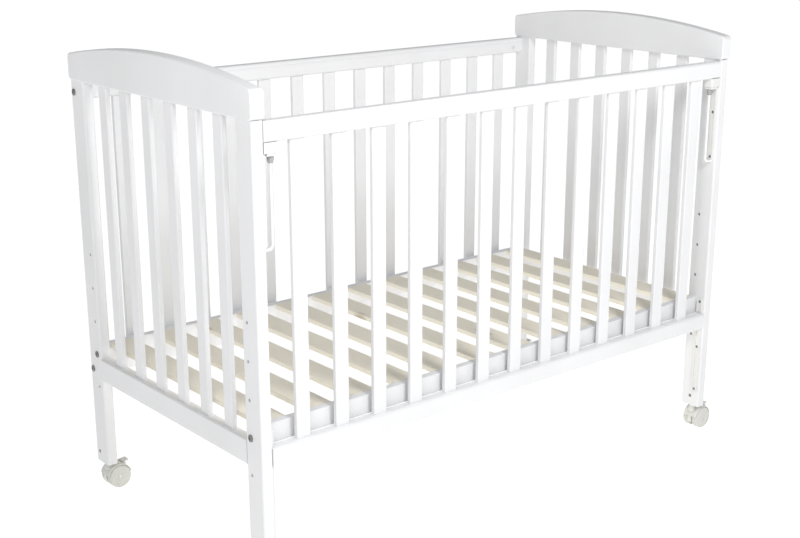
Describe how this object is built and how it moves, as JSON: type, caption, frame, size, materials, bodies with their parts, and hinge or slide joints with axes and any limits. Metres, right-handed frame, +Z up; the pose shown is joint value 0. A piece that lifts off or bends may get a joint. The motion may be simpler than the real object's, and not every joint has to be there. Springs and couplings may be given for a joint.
{
  "type": "baby crib",
  "caption": "White slatted baby crib with arched end boards, a lowering front side on guide rods, a slatted pine mattress base and braked twin-wheel casters.",
  "frame": {"origin": "on the floor, under the middle of the crib's four posts", "axes": "+X along the length, -Y towards the drop side, +Z up"},
  "size_m": [1.2763, 0.64, 0.9459],
  "materials": {
    "white_paint": "satin white paint over pine",
    "bare_pine": "unpainted planed pine",
    "beech": "fluted beech dowel",
    "white_plastic": "satin moulded white plastic",
    "grey_plastic": "matte grey moulded plastic",
    "zinc_steel": "zinc-plated steel",
    "dark_steel": "dark bronzed steel",
    "ivory_plastic": "satin ivory plastic",
    "ivory_wheel": "matte ivory plastic tread"
  },
  "bodies": {
    "crib_frame": {"left_end_front_post": "white_paint", "left_end_back_post": "white_paint", "left_end_arch_board": "white_paint", "left_end_bottom_rail": "white_paint", "left_end_slats": "white_paint", "right_end_front_post": "white_paint", "right_end_back_post": "white_paint", "right_end_arch_board": "white_paint", "right_end_bottom_rail": "white_paint", "right_end_slats": "white_paint", "back_top_rail": "white_paint", "back_bottom_rail": "white_paint", "back_slats": "white_paint", "base_front_rail": "white_paint", "base_back_rail": "white_paint", "base_slats": "bare_pine", "dowels": "beech", "upper_guide_strips": "white_plastic", "lower_guide_strips": "white_plastic", "guide_rods": "zinc_steel", "barrel_nuts": "zinc_steel", "caster_sockets": "zinc_steel", "side_bolts": "dark_steel", "base_bolts": "dark_steel", "guide_screws": "dark_steel", "caster_socket_screws": "dark_steel"},
    "drop_side": {"drop_top_rail": "white_paint", "drop_bottom_rail": "white_paint", "drop_slats": "white_paint", "catch_housings": "white_plastic", "left_catch_spring": "zinc_steel", "right_catch_spring": "zinc_steel"},
    "left_catch": {"left_catch_plate": "white_plastic", "left_catch_bush": "grey_plastic"},
    "right_catch": {"right_catch_plate": "white_plastic", "right_catch_bush": "grey_plastic"},
    "left_front_swivel": {"left_front_caster_hood": "ivory_plastic", "left_front_caster_stem": "zinc_steel", "left_front_caster_axle_and_brake_pin": "zinc_steel"},
    "left_front_front_wheel": {"left_front_caster_front_wheel": "ivory_wheel"},
    "left_front_back_wheel": {"left_front_caster_back_wheel": "ivory_wheel"},
    "left_front_brake": {"left_front_caster_brake_lever": "ivory_plastic"},
    "left_back_swivel": {"left_back_caster_hood": "ivory_plastic", "left_back_caster_stem": "zinc_steel", "left_back_caster_axle_and_brake_pin": "zinc_steel"},
    "left_back_front_wheel": {"left_back_caster_front_wheel": "ivory_wheel"},
    "left_back_back_wheel": {"left_back_caster_back_wheel": "ivory_wheel"},
    "left_back_brake": {"left_back_caster_brake_lever": "ivory_plastic"},
    "right_front_swivel": {"right_front_caster_hood": "ivory_plastic", "right_front_caster_stem": "zinc_steel", "right_front_caster_axle_and_brake_pin": "zinc_steel"},
    "right_front_front_wheel": {"right_front_caster_front_wheel": "ivory_wheel"},
    "right_front_back_wheel": {"right_front_caster_back_wheel": "ivory_wheel"},
    "right_front_brake": {"right_front_caster_brake_lever": "ivory_plastic"},
    "right_back_swivel": {"right_back_caster_hood": "ivory_plastic", "right_back_caster_stem": "zinc_steel", "right_back_caster_axle_and_brake_pin": "zinc_steel"},
    "right_back_front_wheel": {"right_back_caster_front_wheel": "ivory_wheel"},
    "right_back_back_wheel": {"right_back_caster_back_wheel": "ivory_wheel"},
    "right_back_brake": {"right_back_caster_brake_lever": "ivory_plastic"}
  },
  "joints": [
    {"name": "drop_side_slide", "type": "slide", "parent": "crib_frame", "child": "drop_side", "axis": [0, 0, -1], "range_m": [0, 0.137]},
    {"name": "left_catch_push", "type": "slide", "parent": "drop_side", "child": "left_catch", "axis": [0, 0, 1], "range_m": [0, 0.005], "stiffness_N_per_m": 400, "springref_m": -0.003, "deforming": ["left_catch_spring"]},
    {"name": "right_catch_push", "type": "slide", "parent": "drop_side", "child": "right_catch", "axis": [0, 0, 1], "range_m": [0, 0.005], "stiffness_N_per_m": 400, "springref_m": -0.003, "deforming": ["right_catch_spring"]},
    {"name": "left_front_caster_swivel", "type": "hinge", "parent": "crib_frame", "child": "left_front_swivel", "pos_m": [-0.6085, -0.2925, 0.06], "axis": [0, 0, 1], "continuous": true},
    {"name": "left_front_front_wheel_roll", "type": "hinge", "parent": "left_front_swivel", "child": "left_front_front_wheel", "pos_m": [-0.5905, -0.2925, 0.025], "axis": [0, 1, 0], "continuous": true},
    {"name": "left_front_back_wheel_roll", "type": "hinge", "parent": "left_front_swivel", "child": "left_front_back_wheel", "pos_m": [-0.5905, -0.2925, 0.025], "axis": [0, 1, 0], "continuous": true},
    {"name": "left_front_brake_press", "type": "hinge", "parent": "left_front_swivel", "child": "left_front_brake", "pos_m": [-0.5755, -0.2925, 0.04947], "axis": [0, 1, 0], "range_deg": [0, 12]},
    {"name": "left_back_caster_swivel", "type": "hinge", "parent": "crib_frame", "child": "left_back_swivel", "pos_m": [-0.6085, 0.2925, 0.06], "axis": [0, 0, 1], "continuous": true},
    {"name": "left_back_front_wheel_roll", "type": "hinge", "parent": "left_back_swivel", "child": "left_back_front_wheel", "pos_m": [-0.5905, 0.2925, 0.025], "axis": [0, 1, 0], "continuous": true},
    {"name": "left_back_back_wheel_roll", "type": "hinge", "parent": "left_back_swivel", "child": "left_back_back_wheel", "pos_m": [-0.5905, 0.2925, 0.025], "axis": [0, 1, 0], "continuous": true},
    {"name": "left_back_brake_press", "type": "hinge", "parent": "left_back_swivel", "child": "left_back_brake", "pos_m": [-0.5755, 0.2925, 0.04947], "axis": [0, 1, 0], "range_deg": [0, 12]},
    {"name": "right_front_caster_swivel", "type": "hinge", "parent": "crib_frame", "child": "right_front_swivel", "pos_m": [0.6085, -0.2925, 0.06], "axis": [0, 0, 1], "continuous": true},
    {"name": "right_front_front_wheel_roll", "type": "hinge", "parent": "right_front_swivel", "child": "right_front_front_wheel", "pos_m": [0.6265, -0.2925, 0.025], "axis": [0, 1, 0], "continuous": true},
    {"name": "right_front_back_wheel_roll", "type": "hinge", "parent": "right_front_swivel", "child": "right_front_back_wheel", "pos_m": [0.6265, -0.2925, 0.025], "axis": [0, 1, 0], "continuous": true},
    {"name": "right_front_brake_press", "type": "hinge", "parent": "right_front_swivel", "child": "right_front_brake", "pos_m": [0.6415, -0.2925, 0.04947], "axis": [0, 1, 0], "range_deg": [0, 12]},
    {"name": "right_back_caster_swivel", "type": "hinge", "parent": "crib_frame", "child": "right_back_swivel", "pos_m": [0.6085, 0.2925, 0.06], "axis": [0, 0, 1], "continuous": true},
    {"name": "right_back_front_wheel_roll", "type": "hinge", "parent": "right_back_swivel", "child": "right_back_front_wheel", "pos_m": [0.6265, 0.2925, 0.025], "axis": [0, 1, 0], "continuous": true},
    {"name": "right_back_back_wheel_roll", "type": "hinge", "parent": "right_back_swivel", "child": "right_back_back_wheel", "pos_m": [0.6265, 0.2925, 0.025], "axis": [0, 1, 0], "continuous": true},
    {"name": "right_back_brake_press", "type": "hinge", "parent": "right_back_swivel", "child": "right_back_brake", "pos_m": [0.6415, 0.2925, 0.04947], "axis": [0, 1, 0], "range_deg": [0, 12]}
  ]
}
